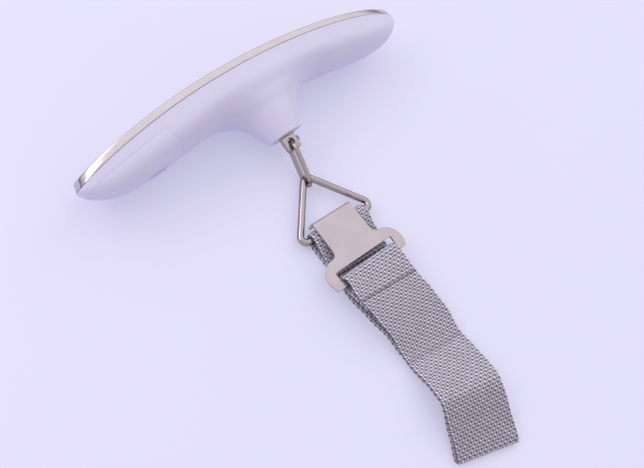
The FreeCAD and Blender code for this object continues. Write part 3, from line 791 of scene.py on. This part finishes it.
def evened(ring, step, rounds):
    """A ring of points spaced evenly and eased at its corners."""
    ring = np.array(ring, float)
    closed = np.concatenate([ring, ring[:1]], 0)
    run = np.concatenate([[0], np.cumsum(np.hypot(*np.diff(closed, axis=0).T))])
    count = int(run[-1] / step)
    at = np.linspace(0, run[-1], count, endpoint=False)
    even = np.stack([np.interp(at, run, closed[:, k]) for k in (0, 1)], -1)
    for _ in range(rounds):
        even = 0.5 * even + 0.25 * (np.roll(even, 1, 0) + np.roll(even, -1, 0))
    return even


def reshape_mesh(mesh, rule):
    """Moves each point of a mesh by a rule on arrays of millimetres."""
    flat = np.empty(len(mesh.vertices) * 3)
    mesh.vertices.foreach_get("co", flat)
    mesh.vertices.foreach_set("co", to_model(rule(flat.reshape(-1, 3))).reshape(-1))
    mesh.update()


def add_flat_part(name, mesh, finish, body, stands_for):
    """A plate cut from sheet: its two faces stay flat, its rounded edges are smooth."""
    clean(mesh)
    mesh.materials.clear()
    made = settle(new_object(name, mesh), finish, body, stands_for, 24)
    face = max(mesh.polygons, key=lambda polygon: polygon.area).normal.copy()
    for polygon in mesh.polygons:
        polygon.use_smooth = abs(polygon.normal.dot(face)) < 0.9999
    return made


def build_eye():
    """Flat tab with its hole for the link, a peened stub on its edge and the plug round it."""
    tab = rounded_rectangle(3.4, 13.4, 0.9)
    outline = [(x, y - 26.0) for x, y in tab]
    mesh = plate_from_outline(outline, [circle(0, EYE_HOLE_Y, 1.55), circle(0, -10.7, 1.25, 32)], 2.0, 0.25)
    reshape_mesh(mesh, from_handle)
    add_flat_part("hanger_eye_plate", mesh, nickel.material, "handle", ("hanger_eye",))
    stub = [(0.01, 3.1), (0.85, 3.1), (0.85, 3.75), (1.1, 3.8), (1.15, 4.25), (0.9, 4.55), (0.4, 4.65),
            (0.01, 4.66)]
    turned_stub, faces = revolve(stub, (0.0, 0.0, 0.0), 24)
    sideways = np.stack([turned_stub[:, 1], turned_stub[:, 0] - 35.9, turned_stub[:, 2] - 0.4], -1)
    add_piece("hanger_eye_stub", from_handle(sideways), faces, nickel.material, "handle")
    oval = [(6.0 * x, 5.5 * z) for x, z in circle(0.0, 0.0, 1.0, 64)]
    plug = plate_from_outline(oval, [rounded_rectangle(3.5, 1.1, 0.3)], 1.6, 0.2)
    reshape_mesh(plug, lambda p: from_handle(np.stack([p[:, 0], MOUTH_Y + 0.86 + p[:, 2], p[:, 1]], -1)))
    add_flat_part("neck_plug", plug, white.material, "handle", ("neck_collar",))


build_eye()


def ring_point(points):
    """Points of the ring's own frame, pitched, turned and set on its bar."""
    a = math.radians(2.7)
    p = np.asarray(points, float)
    y, z = p[..., 1], p[..., 2]
    pitched = np.stack([p[..., 0], y * math.cos(a) - z * math.sin(a), y * math.sin(a) + z * math.cos(a)], -1)
    return turned(pitched, RING_YAW) + BAR_AT


def build_ring():
    corners = [(-RING_HALF, 0, 0), (RING_HALF, 0, 0), (0, RING_TALL, 0)]
    points, faces = tube(ring_point(rounded_loop(corners, [2.2, 2.2, RING_BEND])), RING_WIRE, 24)
    add_piece("triangle_ring_wire", points, faces, nickel.material, "ring",
              ("triangle_ring",))


def build_link():
    """Oval wire link from the eye's hole to the ring's top bend, leaning a little to one side."""
    top = from_handle(np.array([0.0, EYE_HOLE_Y, 0.0]))
    half = math.atan2(RING_HALF, RING_TALL)
    apex = ring_point(np.array([0.0, RING_TALL - (RING_BEND / math.sin(half) - RING_BEND), 0.0]))
    along = (apex - top) / np.linalg.norm(apex - top)
    low = apex + along * (RING_WIRE + LINK_WIRE + 0.4)
    level = np.cross(along, [0, 0, 1])
    level /= np.linalg.norm(level)
    upright = np.cross(level, along)
    lean = math.radians(8.0)
    side = upright * math.cos(lean) + np.cross(along, upright) * math.sin(lean)
    bend = 3.1
    first, last = top + along * bend, low - along * bend
    path = []
    for centre, start in ((first, 0.0), (last, 180.0)):
        for k in range(25):
            a = math.radians(start + 180.0 * k / 24)
            path.append(centre + bend * (side * math.cos(a) - along * math.sin(a)))
        if start == 0.0:
            path += [first - side * bend + (last - first) * k / 20 for k in range(1, 20)]
    path += [last + side * bend + (first - last) * k / 20 for k in range(1, 20)]
    points, faces = tube(path, LINK_WIRE, 20)
    add_piece("link_wire", points, faces, nickel.material, "link", ("connecting_link",))


build_ring()
build_link()


# ---- hook buckle --------------------------------------------------------------------------------
def buckle_outline(length):
    """Outline of the buckle before its lip is folded; origin on the slot's upper edge."""
    ear_x, ear_y, ear_r, notch_r, neck = 12.8, -2.2, 7.2, 2.4, 10.1
    notch_y = ear_y + math.sqrt((ear_r + notch_r) ** 2 - (ear_x - neck - notch_r) ** 2)
    lean = math.degrees(math.asin((ear_x - neck - notch_r) / (ear_r + notch_r)))
    right = [(neck, length)]
    for k in range(13):
        a = math.radians(180 + (90 + lean) * k / 12)
        right.append((neck + notch_r + notch_r * math.cos(a), notch_y + notch_r * math.sin(a)))
    begin = 90 + lean
    end = math.degrees(math.asin((-SLOT_H - BAR_W - ear_y) / ear_r))
    for k in range(1, 25):
        a = math.radians(begin + (end - begin) * k / 24)
        right.append((ear_x + ear_r * math.cos(a), ear_y + ear_r * math.sin(a)))
    return right + [(-x, y) for x, y in reversed(right)]


def build_buckle():
    """Hook plate: cut flat, creased across its top and folded down into the hook's lip."""
    fold_from, fold_r, lip = 19.8, 0.9, 3.4
    arc = fold_r * math.pi / 2
    length = fold_from + arc + lip
    outline = evened(buckle_outline(length), 0.3, 5)
    slot = [(x, z - SLOT_H / 2) for x, z in rounded_rectangle(15.2, SLOT_H / 2, 0.5)]
    mesh = plate_from_outline(outline, [slot], HOOK_T, 0.2)
    work = bmesh.new()
    work.from_mesh(mesh)
    for k in range(9):
        everything = work.verts[:] + work.edges[:] + work.faces[:]
        bmesh.ops.bisect_plane(work, geom=everything, plane_co=(0, fold_from + arc * k / 8, 0),
                               plane_no=(0, 1, 0))
    work.to_mesh(mesh)
    work.free()

    def fold(p):
        x, y, w = p[:, 0], p[:, 1], p[:, 2]
        past = y - fold_from
        angle = np.clip(past / fold_r, 0, math.pi / 2)
        over = np.maximum(past - arc, 0)
        new_y = np.where(past < 0, y, fold_from + (fold_r + w) * np.sin(angle))
        new_z = np.where(past < 0, w, (fold_r + w) * np.cos(angle) - fold_r - over)
        return turned(np.stack([x, new_y, new_z - HOOK_T / 2], -1), HOOK_YAW) + SLOT_EDGE_AT

    reshape_mesh(mesh, fold)
    add_flat_part("buckle_hook_plate", mesh, buckle_steel.material, "buckle",
                  ("hook_buckle",))


build_buckle()


# ---- webbing ------------------------------------------------------------------------------------
FRONT_X = [(-93, -7.1), (-104, -7.9), (-114, -6.7), (-124, -5.6), (-134, -6.4), (-152, -9.6), (-166, -14.2),
           (-174, -17.2)]
FRONT_YAW = [(-93, -4.0), (-104, -7.5), (-124, -9.2), (-134, -11.3), (-152, -17.6), (-174, -22.8)]
BACK_X = [(-72.7, -3.9), (-96, -6.1), (-122, -4.8), (-134, -5.6), (-152, -9.4), (-166, -14.2), (-174, -17.2)]
BACK_YAW = [(-72.7, -5.0), (-96, -6.0), (-122, -9.0), (-134, -11.3), (-152, -17.6), (-174, -22.8)]
FRONT_RISE = [(-132, 2.6), (-128, 3.6), (-122, 5.5), (-114, 7.4), (-106, 8.6), (-99, 9.1)]
FRONT_TAIL = [(-97, 4.9), (-100.5, 6.1), (-104.5, 7.0), (-108, 6.5)]
FOLD_Y = -174.0
FOLD_R = 0.78
SEAM_Y = -104.0
SEAM_Z = 8.77 + WEB_T / 2
TAIL_SEAM_Y = -86.5
TAIL_SEAM_Z = 2 * WEB_T + 0.1
TOGETHER = [-133.0 - 2.0 * i for i in range(1, 19)]


def between(table, y):
    rows = sorted(table)
    return float(fair(np.array(float(y)), rows)[..., 0])


STRAP_BENDS = [(-172.5, 0.7), (-152.6, 7.6), (-133.4, 0.7)]
BEND_SPAN = 0.9


def wave(y):
    """Height of the lower layer's centre line: flat, straight up to one crest, straight down again."""
    places, heights = np.array(STRAP_BENDS).T
    near = y + np.linspace(-BEND_SPAN, BEND_SPAN, 9)
    return float(np.interp(near, places, heights).mean())


def layer_gap(y):
    slope = (wave(y + 0.5) - wave(y - 0.5)) / math.cos(math.radians(between(FRONT_YAW, y)))
    return (WEB_T + 0.06) * math.hypot(1.0, slope) + 0.06


def stations(places, yaws, heights):
    return [(between(places, y), y, z, between(yaws, y)) for y, z in heights]


def round_bar(centre, radius, start, end, yaw, steps):
    """Stations round a bar; angles run from the way the webbing leads towards the top."""
    heading = turned(np.array([0.0, -1.0, 0.0]), yaw)
    found = []
    for i in range(steps + 1):
        a = math.radians(start + (end - start) * i / steps)
        spot = centre + radius * (heading * math.cos(a) + np.array([0, 0, math.sin(a)]))
        found.append((*spot, yaw))
    return found


def back_stations():
    tail = 3 * WEB_T / 2 + 0.06
    back = stations(BACK_X, BACK_YAW, [(-89.5, tail), (-84.5, tail), (-81.0, tail + 0.5)])
    back += round_bar(BAR_AT, RING_WIRE + 0.15 + WEB_T / 2, 80, 270, RING_YAW, 12)
    back += stations(BACK_X, BACK_YAW, [(y, WEB_T / 2) for y in (-76, -84, -96, -108, -120, -130)])
    return back + stations(BACK_X, BACK_YAW, [(y, wave(y)) for y in TOGETHER + [FOLD_Y + 1.0, FOLD_Y]])


def front_stations():
    fold_at = np.array([between(FRONT_X, FOLD_Y), FOLD_Y, WEB_T / 2 + FOLD_R])
    front = round_bar(fold_at, FOLD_R, -90, 90, between(FRONT_YAW, FOLD_Y), 6)
    front += stations(FRONT_X, FRONT_YAW, [(y, wave(y) + layer_gap(y)) for y in reversed(TOGETHER)])
    front += stations(FRONT_X, FRONT_YAW, FRONT_RISE)
    bar = SLOT_EDGE_AT + turned(np.array([0.0, -(SLOT_H + BAR_W / 2), -HOOK_T / 2]), HOOK_YAW)
    bar_r = math.hypot(BAR_W, HOOK_T) / 2 + 0.2 + WEB_T / 2
    front += round_bar(bar, bar_r, 85, 275, HOOK_YAW, 12)
    return front + stations(FRONT_X, FRONT_YAW, FRONT_TAIL)


def centre_line(rows, step):
    """Evenly spaced centre points, across directions and normals along the stations."""
    rows = np.array(rows, float)
    run = np.concatenate([[0], np.cumsum(np.linalg.norm(np.diff(rows[:, :3], axis=0), axis=1))])
    count = int(round(run[-1] / step)) + 1
    dense = fair(np.linspace(0, run[-1], count), np.concatenate([run[:, None], rows], 1))
    yaw = np.radians(dense[:, 3])
    across = np.stack([np.cos(yaw), np.sin(yaw), np.zeros(count)], -1)
    along = np.gradient(dense[:, :3], axis=0)
    along /= np.linalg.norm(along, axis=1)[:, None]
    normal = np.cross(across, along)
    normal /= np.linalg.norm(normal, axis=1)[:, None]
    return dense[:, :3], across, normal


YARN_RISE = 0.15
YARN_R = 0.34
CROWN = 0.02
END_SHADE = 0.22
TROUGH_SHADE = 0.24
SEAM_SINK = 0.34
SEAM_SHADE = 0.8


def yarn(lift, off):
    """Height of a round yarn, raised by its share of the full rise and met off its middle."""
    return lift * YARN_RISE + YARN_R * (np.sqrt(np.maximum(0, 1 - (1.9 * off) ** 2)) - 1)


def weave(u, v):
    """Height of a plain weave at u cells across and v cells along, and how light each yarn is."""
    i, j = np.floor(u), np.floor(v)
    p, q = u - i - 0.5, v - j - 0.5
    over = np.where((i + j) % 2 == 0, 1.0, -1.0)
    warp = yarn(over * np.cos(math.pi * q), p)
    weft = yarn(-over * np.cos(math.pi * p), q)
    height = np.maximum(warp, weft - 0.03)
    chance = np.mod(np.sin(i * 12.9898 + j * 78.233) * 43758.5453, 1.0)
    return height, 1.0 + 0.28 * (chance - 0.5)


def build_webbing(name, rows, node, seams=()):
    """Woven strap along its stations, with relief on both faces and rounded selvedges."""
    quarter = CELL / 4
    half_cells = CELLS / 2
    centre, across, normal = centre_line(rows, quarter)
    count = len(centre)
    columns = CELLS * 4 + 1
    u = np.linspace(0, CELLS, columns)[None, :].repeat(count, 0)
    v = np.arange(count)[:, None].repeat(columns, 1) / 4
    outer = np.clip((np.abs(u / half_cells - 1) - 0.9) / 0.1, 0, 1) * np.sign(u - half_cells)
    turn = 0.13 * np.cos(math.pi * v + np.where(u > half_cells, math.pi, 0.0))
    turn += 0.14 * np.sin(0.61 * v + 0.2 * u)
    offset = (u / CELLS - 0.5) * (WEB_W - 0.5) + outer * turn + 0.16 * np.sin(0.23 * v)
    edge = np.sqrt(np.maximum(0.0, 1.0 - np.abs(u / half_cells - 1) ** 26))
    height, tone = weave(u + 1e-6, v + 1e-6)
    sag = np.zeros_like(u)
    # Painted shade: the tone is darkened along each seam's sag.
    for seam_y in seams:
        row = np.argmin(np.abs(centre[:, 1] - seam_y)) / 4
        near = np.exp(-((v - row) / 0.38) ** 2)
        sag += SEAM_SINK * near
        tone = tone * (1 - SEAM_SHADE * near)
    along_y = centre[:, 1][:, None]
    (crest_y, _), (trough_y, _) = STRAP_BENDS[1:]
    # Painted shade: the tone is darkened in the trough and on the facet that falls away past the crest.
    tone = tone * (1 - TROUGH_SHADE * np.exp(-((along_y - trough_y) / 1.1) ** 2))
    tone = tone * (1 - END_SHADE * np.clip((crest_y - along_y) / 4.0, 0, 1))
    body = 0.5 * WEB_T - YARN_RISE + CROWN + height - sag
    top = centre[:, None] + across[:, None] * offset[..., None] + normal[:, None] * (body * edge)[..., None]
    other = 0.5 * WEB_T - YARN_RISE + CROWN + weave(u + 1e-6, v + 1 + 1e-6)[0]
    low = centre[:, None] + across[:, None] * offset[..., None] - normal[:, None] * (other * edge)[..., None]
    points = np.concatenate([top.reshape(-1, 3), low.reshape(-1, 3)])
    size = count * columns
    faces = grid_faces(count, columns)
    faces += [(d + size, c + size, b + size, a + size) for a, b, c, d in faces]
    for i in (0, count - 1):
        faces += [(i * columns + j, i * columns + j + 1, size + i * columns + j + 1, size + i * columns + j)
                  for j in range(columns - 1)]
    mesh = bpy.data.meshes.new(name)
    mesh.from_pydata(to_model(points).tolist(), [], faces)
    layer = mesh.attributes.new("tone", "FLOAT", "POINT")
    layer.data.foreach_set("value", np.concatenate([tone.ravel(), tone.ravel()]))
    loops = np.empty(len(mesh.loops), int)
    mesh.loops.foreach_get("vertex_index", loops)
    flat = np.stack([u.ravel(), v.ravel()], -1)
    flat = np.concatenate([flat, flat])[loops]
    mesh.uv_layers.new(name="weave").data.foreach_set("uv", flat.ravel())
    clean(mesh)
    strap = new_object(name, mesh)
    settle(strap, webbing.material, "strap", (node,), 80)
    return strap, count * quarter


lower_layer, lower_length = build_webbing("strap_lower_layer", back_stations(), "strap_back")
upper_layer, upper_length = build_webbing("strap_upper_layer", front_stations(), "strap_front", (SEAM_Y,))


# ---- stitches -----------------------------------------------------------------------------------
def wire(tree, rows):
    """Links a node tree from (node, output, node, input) rows."""
    for source, output, target, into in rows:
        tree.links.new(source.outputs[output], target.inputs[into])


def stitch_tree():
    """Row of thread stitches between two points."""
    tree = bpy.data.node_groups.new("Stitch Row", "GeometryNodeTree")
    tree.interface.new_socket("Geometry", in_out="INPUT", socket_type="NodeSocketGeometry")
    for label, kind, value in (("Start", "Vector", None), ("End", "Vector", None), ("Count", "Int", 12),
                               ("Stitch Length", "Float", 0.0016), ("Thread Radius", "Float", 0.0002),
                               ("Thread", "Material", None)):
        socket = tree.interface.new_socket(label, in_out="INPUT", socket_type="NodeSocket" + kind)
        if value is not None:
            socket.default_value = value
    tree.interface.new_socket("Geometry", in_out="OUTPUT", socket_type="NodeSocketGeometry")
    nodes = tree.nodes
    given = nodes.new("NodeGroupInput")
    line = nodes.new("GeometryNodeCurvePrimitiveLine")
    spaced = nodes.new("GeometryNodeResampleCurve")
    grain = nodes.new("GeometryNodeMeshUVSphere")
    grain.inputs["Segments"].default_value = 8
    grain.inputs["Rings"].default_value = 6
    grain.inputs["Radius"].default_value = 1.0
    size = nodes.new("ShaderNodeCombineXYZ")
    half = nodes.new("ShaderNodeMath")
    half.operation = "MULTIPLY"
    half.inputs[1].default_value = 0.5
    lead = nodes.new("ShaderNodeVectorMath")
    lead.operation = "SUBTRACT"
    turn = nodes.new("FunctionNodeAlignRotationToVector")
    turn.axis = "X"
    place = nodes.new("GeometryNodeInstanceOnPoints")
    real = nodes.new("GeometryNodeRealizeInstances")
    paint = nodes.new("GeometryNodeSetMaterial")
    out = nodes.new("NodeGroupOutput")
    wire(tree, [
        (given, "Start", line, "Start"), (given, "End", line, "End"), (line, "Curve", spaced, "Curve"),
        (given, "Count", spaced, "Count"), (given, "Stitch Length", half, 0), (half, 0, size, "X"),
        (given, "Thread Radius", size, "Y"), (given, "Thread Radius", size, "Z"),
        (given, "End", lead, 0), (given, "Start", lead, 1), (lead, 0, turn, "Vector"),
        (spaced, "Curve", place, "Points"), (grain, "Mesh", place, "Instance"),
        (turn, "Rotation", place, "Rotation"), (size, 0, place, "Scale"),
        (place, "Instances", real, "Geometry"), (real, 0, paint, "Geometry"),
        (given, "Thread", paint, "Material"), (paint, 0, out, 0),
    ])
    return tree


def run_tree(name, tree, **values):
    """Runs a node tree on an empty mesh and returns its result as a plain mesh."""
    holder = new_object(name, bpy.data.meshes.new(name))
    modifier = holder.modifiers.new("Tree", "NODES")
    modifier.node_group = tree
    sockets = {item.name: item.identifier for item in tree.interface.items_tree if item.in_out == "INPUT"}
    for label, value in values.items():
        modifier[sockets[label.replace("_", " ")]] = value
    mesh = bpy.data.meshes.new_from_object(holder.evaluated_get(bpy.context.evaluated_depsgraph_get()))
    discard(holder)
    return mesh


def stitch_row(name, tree, x, y, z, yaw):
    reach = turned(np.array([WEB_W / 2 - 2.4, 0.0, 0.0]), yaw)
    start, end = to_model(np.array([x, y, z]) - reach), to_model(np.array([x, y, z]) + reach)
    return run_tree(name, tree, Start=start.tolist(), End=end.tolist(), Count=12, Thread=thread.material)


def build_stitches():
    """The two sewn rows: one behind the buckle, one behind the ring."""
    tree = stitch_tree()
    rows = []
    seams = ((FRONT_X, FRONT_YAW, SEAM_Y, SEAM_Z), (BACK_X, BACK_YAW, TAIL_SEAM_Y, TAIL_SEAM_Z))
    for places, yaws, y, z in seams:
        rows.append(stitch_row("seam", tree, between(places, y), y, z, between(yaws, y)))
    row = new_object("strap_stitches", joined("strap_stitches", rows))
    return settle(row, thread.material, "strap", ("strap_stitching",), 80)


stitches = build_stitches()


# ---- floor, light and camera --------------------------------------------------------------------
def build_floor():
    half, count = 1.6, 24
    line = np.linspace(-half, half, count)
    points = np.array([(x, y, 0.0) for y in line for x in line])
    mesh = bpy.data.meshes.new("floor")
    mesh.from_pydata(points.tolist(), [], grid_faces(count, count))
    # The floor glows a little: its emission is painted light that lifts the shadows on it and lights the
    # parts' undersides from below.
    surface = Finish("floor_paper", (0.43, 0.422, 0.53), 0.75, Emission_Color=(0.79, 0.775, 0.975, 1.0),
                     Emission_Strength=0.39).mottle(6, 0.01).grain(700, 0.04, 0.0001)
    mesh.materials.append(surface.material)
    floor = new_object("floor", mesh)


def area_light(name, place, size, power, mirrored):
    """Light aimed at the model's middle; mirrored says whether bright metal shows it."""
    data = bpy.data.lights.new(name, "AREA")
    data.shape = "RECTANGLE"
    data.size, data.size_y = size
    data.energy = power
    data.color = (1.0, 0.98, 1.0)
    made = bpy.data.objects.new(name, data)
    made.location = place
    made.rotation_mode = "QUATERNION"
    made.rotation_quaternion = (-Vector(place)).to_track_quat("-Z", "Y")
    made.visible_glossy = mirrored
    scene.collection.objects.link(made)


KEY_PLACE = (0.86, 0.28, 0.50)
KEY_POWER = 1.5
STRIP_PLACE = (-0.48, 0.55, 0.52)
STRIP_POWER = 1.9
SKY_HEADING = (0.35, 0.75, 0.55)
SKY_STRENGTH = 1.16
SKY_SIDES = [(0.0, (0.60, 0.575, 0.62)), (0.5, (0.84, 0.81, 0.86)), (1.0, (1.0, 0.975, 1.0))]
SKY_HORIZON = [(0.02, (0.14, 0.12, 0.13)), (0.10, (0.45, 0.42, 0.44)), (0.26, (1.0, 1.0, 1.0))]


def tinted_ramp(nodes, stops):
    made = nodes.new("ShaderNodeValToRGB")
    elements = made.color_ramp.elements
    while len(elements) < len(stops):
        elements.new(0.5)
    for element, (position, tint) in zip(elements, stops):
        element.position = position
        element.color = (*tint, 1.0)
    return made


def build_light():
    """Bright dome, darker low down and on one side, with a soft key and a strip for edges."""
    world = bpy.data.worlds.new("studio")
    scene.world = world
    world.use_nodes = True
    nodes = world.node_tree.nodes
    sky = nodes["Background"]
    sky.inputs["Strength"].default_value = SKY_STRENGTH
    heading = nodes.new("ShaderNodeTexCoord")
    toward = nodes.new("ShaderNodeVectorMath")
    toward.operation = "DOT_PRODUCT"
    toward.inputs[1].default_value = SKY_HEADING
    split = nodes.new("ShaderNodeSeparateXYZ")
    sides = tinted_ramp(nodes, SKY_SIDES)
    horizon = tinted_ramp(nodes, SKY_HORIZON)
    both = nodes.new("ShaderNodeVectorMath")
    both.operation = "MULTIPLY"
    wire(world.node_tree, [
        (heading, "Generated", toward, 0), (heading, "Generated", split, 0), (toward, "Value", sides, "Fac"),
        (split, "Z", horizon, "Fac"), (sides, "Color", both, 0), (horizon, "Color", both, 1),
        (both, 0, sky, "Color"),
    ])
    area_light("key_softbox", KEY_PLACE, (0.63, 0.63), KEY_POWER, False)
    area_light("edge_strip", STRIP_PLACE, (0.9, 0.26), STRIP_POWER, True)


LENS_MM = 40.94
CAMERA_AT = (-0.16095, -0.01667, 0.24552)


def build_camera():
    data = bpy.data.cameras.new("camera")
    data.sensor_width = 36.0
    data.lens = LENS_MM
    data.clip_start = 0.01
    camera = bpy.data.objects.new("camera", data)
    right = Vector((0.6904, -0.6425, 0.3326))
    up = Vector((0.5043, 0.7570, 0.4156))
    back = Vector((-0.5187, -0.1192, 0.8466))
    turn = Matrix((right, up, back)).transposed().to_4x4()
    camera.matrix_world = Matrix.Translation(CAMERA_AT) @ turn
    scene.collection.objects.link(camera)
    scene.camera = camera


build_floor()
build_light()
build_camera()
scene.view_settings.view_transform = "Standard"
scene.view_settings.look = "None"
